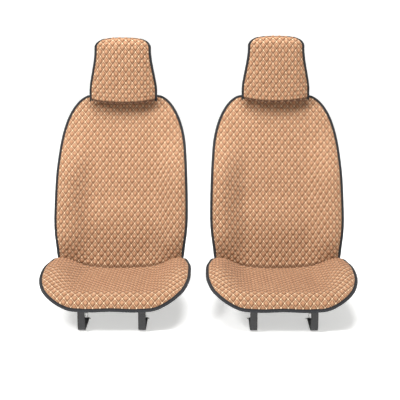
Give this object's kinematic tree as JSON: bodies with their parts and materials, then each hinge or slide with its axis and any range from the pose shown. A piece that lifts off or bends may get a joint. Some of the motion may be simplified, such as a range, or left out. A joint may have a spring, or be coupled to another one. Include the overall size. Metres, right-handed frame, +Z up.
{
  "type": "seat cover set",
  "caption": "Pair of quilted front seat covers as fitted: each has a seat section, a leaning back section, a headrest hood, bound edges and elastic fixing straps.",
  "frame": {"origin": "midway between the two covers, on the line where the back and seat sections meet", "axes": "+X across the vehicle to the right as the covers are seen from the front, -Y the way the seats face, +Z up"},
  "size_m": [1.1132, 0.763, 0.9501],
  "materials": {
    "quilt": "tan woven cloth quilted over thin foam in diamonds, with lighter thread",
    "lining": "black knit with rubber grip dots",
    "piping": "dark grey folded binding tape",
    "knit": "black stretch knit",
    "webbing": "black ribbed elastic webbing",
    "plastic": "black moulded plastic",
    "wire": "zinc plated wire"
  },
  "bodies": {
    "seats": {"left_seat_quilt": "quilt", "left_seat_lining": "lining", "left_seat_piping": "piping", "left_tuck_flap": "knit", "left_tuck_bar": "plastic", "left_front_strap_inboard": "webbing", "left_front_strap_outboard": "webbing", "right_seat_quilt": "quilt", "right_seat_lining": "lining", "right_seat_piping": "piping", "right_tuck_flap": "knit", "right_tuck_bar": "plastic", "right_front_strap_inboard": "webbing", "right_front_strap_outboard": "webbing"},
    "left_back": {"left_back_quilt": "quilt", "left_back_lining": "lining", "left_back_piping_left": "piping", "left_back_piping_right": "piping", "left_neck_web": "quilt", "left_back_strap_socket_side": "webbing", "left_back_strap_plug_side": "webbing", "left_buckle_socket": "plastic", "left_strap_slider": "plastic"},
    "left_hood": {"left_hood_quilt": "quilt", "left_hood_lining": "lining", "left_hood_piping": "piping", "left_hood_pocket": "knit", "left_hood_elastic": "webbing"},
    "left_plug": {"left_buckle_plug": "plastic"},
    "left_hook_inboard_body": {"left_hook_inboard": "wire"},
    "left_hook_outboard_body": {"left_hook_outboard": "wire"},
    "right_back": {"right_back_quilt": "quilt", "right_back_lining": "lining", "right_back_piping_left": "piping", "right_back_piping_right": "piping", "right_neck_web": "quilt", "right_back_strap_socket_side": "webbing", "right_back_strap_plug_side": "webbing", "right_buckle_socket": "plastic", "right_strap_slider": "plastic"},
    "right_hood": {"right_hood_quilt": "quilt", "right_hood_lining": "lining", "right_hood_piping": "piping", "right_hood_pocket": "knit", "right_hood_elastic": "webbing"},
    "right_plug": {"right_buckle_plug": "plastic"},
    "right_hook_inboard_body": {"right_hook_inboard": "wire"},
    "right_hook_outboard_body": {"right_hook_outboard": "wire"}
  },
  "joints": [
    {"name": "left_recline", "type": "hinge", "parent": "seats", "child": "left_back", "pos_m": [-0.29, 0, 0], "axis": [1, 0, 0], "range_deg": [-50, 3]},
    {"name": "left_headrest_slide", "type": "slide", "parent": "left_back", "child": "left_hood", "axis": [0, 0.342, 0.9397], "range_m": [0, 0.06]},
    {"name": "left_buckle_release", "type": "slide", "parent": "left_back", "child": "left_plug", "axis": [-1, 0, 0], "range_m": [0, 0.03], "deforming": ["left_back_strap_plug_side"]},
    {"name": "left_hook_inboard_swing", "type": "hinge", "parent": "seats", "child": "left_hook_inboard_body", "pos_m": [-0.188, -0.29, -0.1042], "axis": [1, 0, 0], "range_deg": [-60, 35]},
    {"name": "left_hook_outboard_swing", "type": "hinge", "parent": "seats", "child": "left_hook_outboard_body", "pos_m": [-0.392, -0.29, -0.1042], "axis": [1, 0, 0], "range_deg": [-60, 35]},
    {"name": "right_recline", "type": "hinge", "parent": "seats", "child": "right_back", "pos_m": [0.29, 0, 0], "axis": [1, 0, 0], "range_deg": [-50, 3]},
    {"name": "right_headrest_slide", "type": "slide", "parent": "right_back", "child": "right_hood", "axis": [0, 0.342, 0.9397], "range_m": [-0.007, 0.053]},
    {"name": "right_buckle_release", "type": "slide", "parent": "right_back", "child": "right_plug", "axis": [1, 0, 0], "range_m": [0, 0.03], "deforming": ["right_back_strap_plug_side"]},
    {"name": "right_hook_inboard_swing", "type": "hinge", "parent": "seats", "child": "right_hook_inboard_body", "pos_m": [0.188, -0.29, -0.1042], "axis": [1, 0, 0], "range_deg": [-60, 35]},
    {"name": "right_hook_outboard_swing", "type": "hinge", "parent": "seats", "child": "right_hook_outboard_body", "pos_m": [0.392, -0.29, -0.1042], "axis": [1, 0, 0], "range_deg": [-60, 35]}
  ]
}
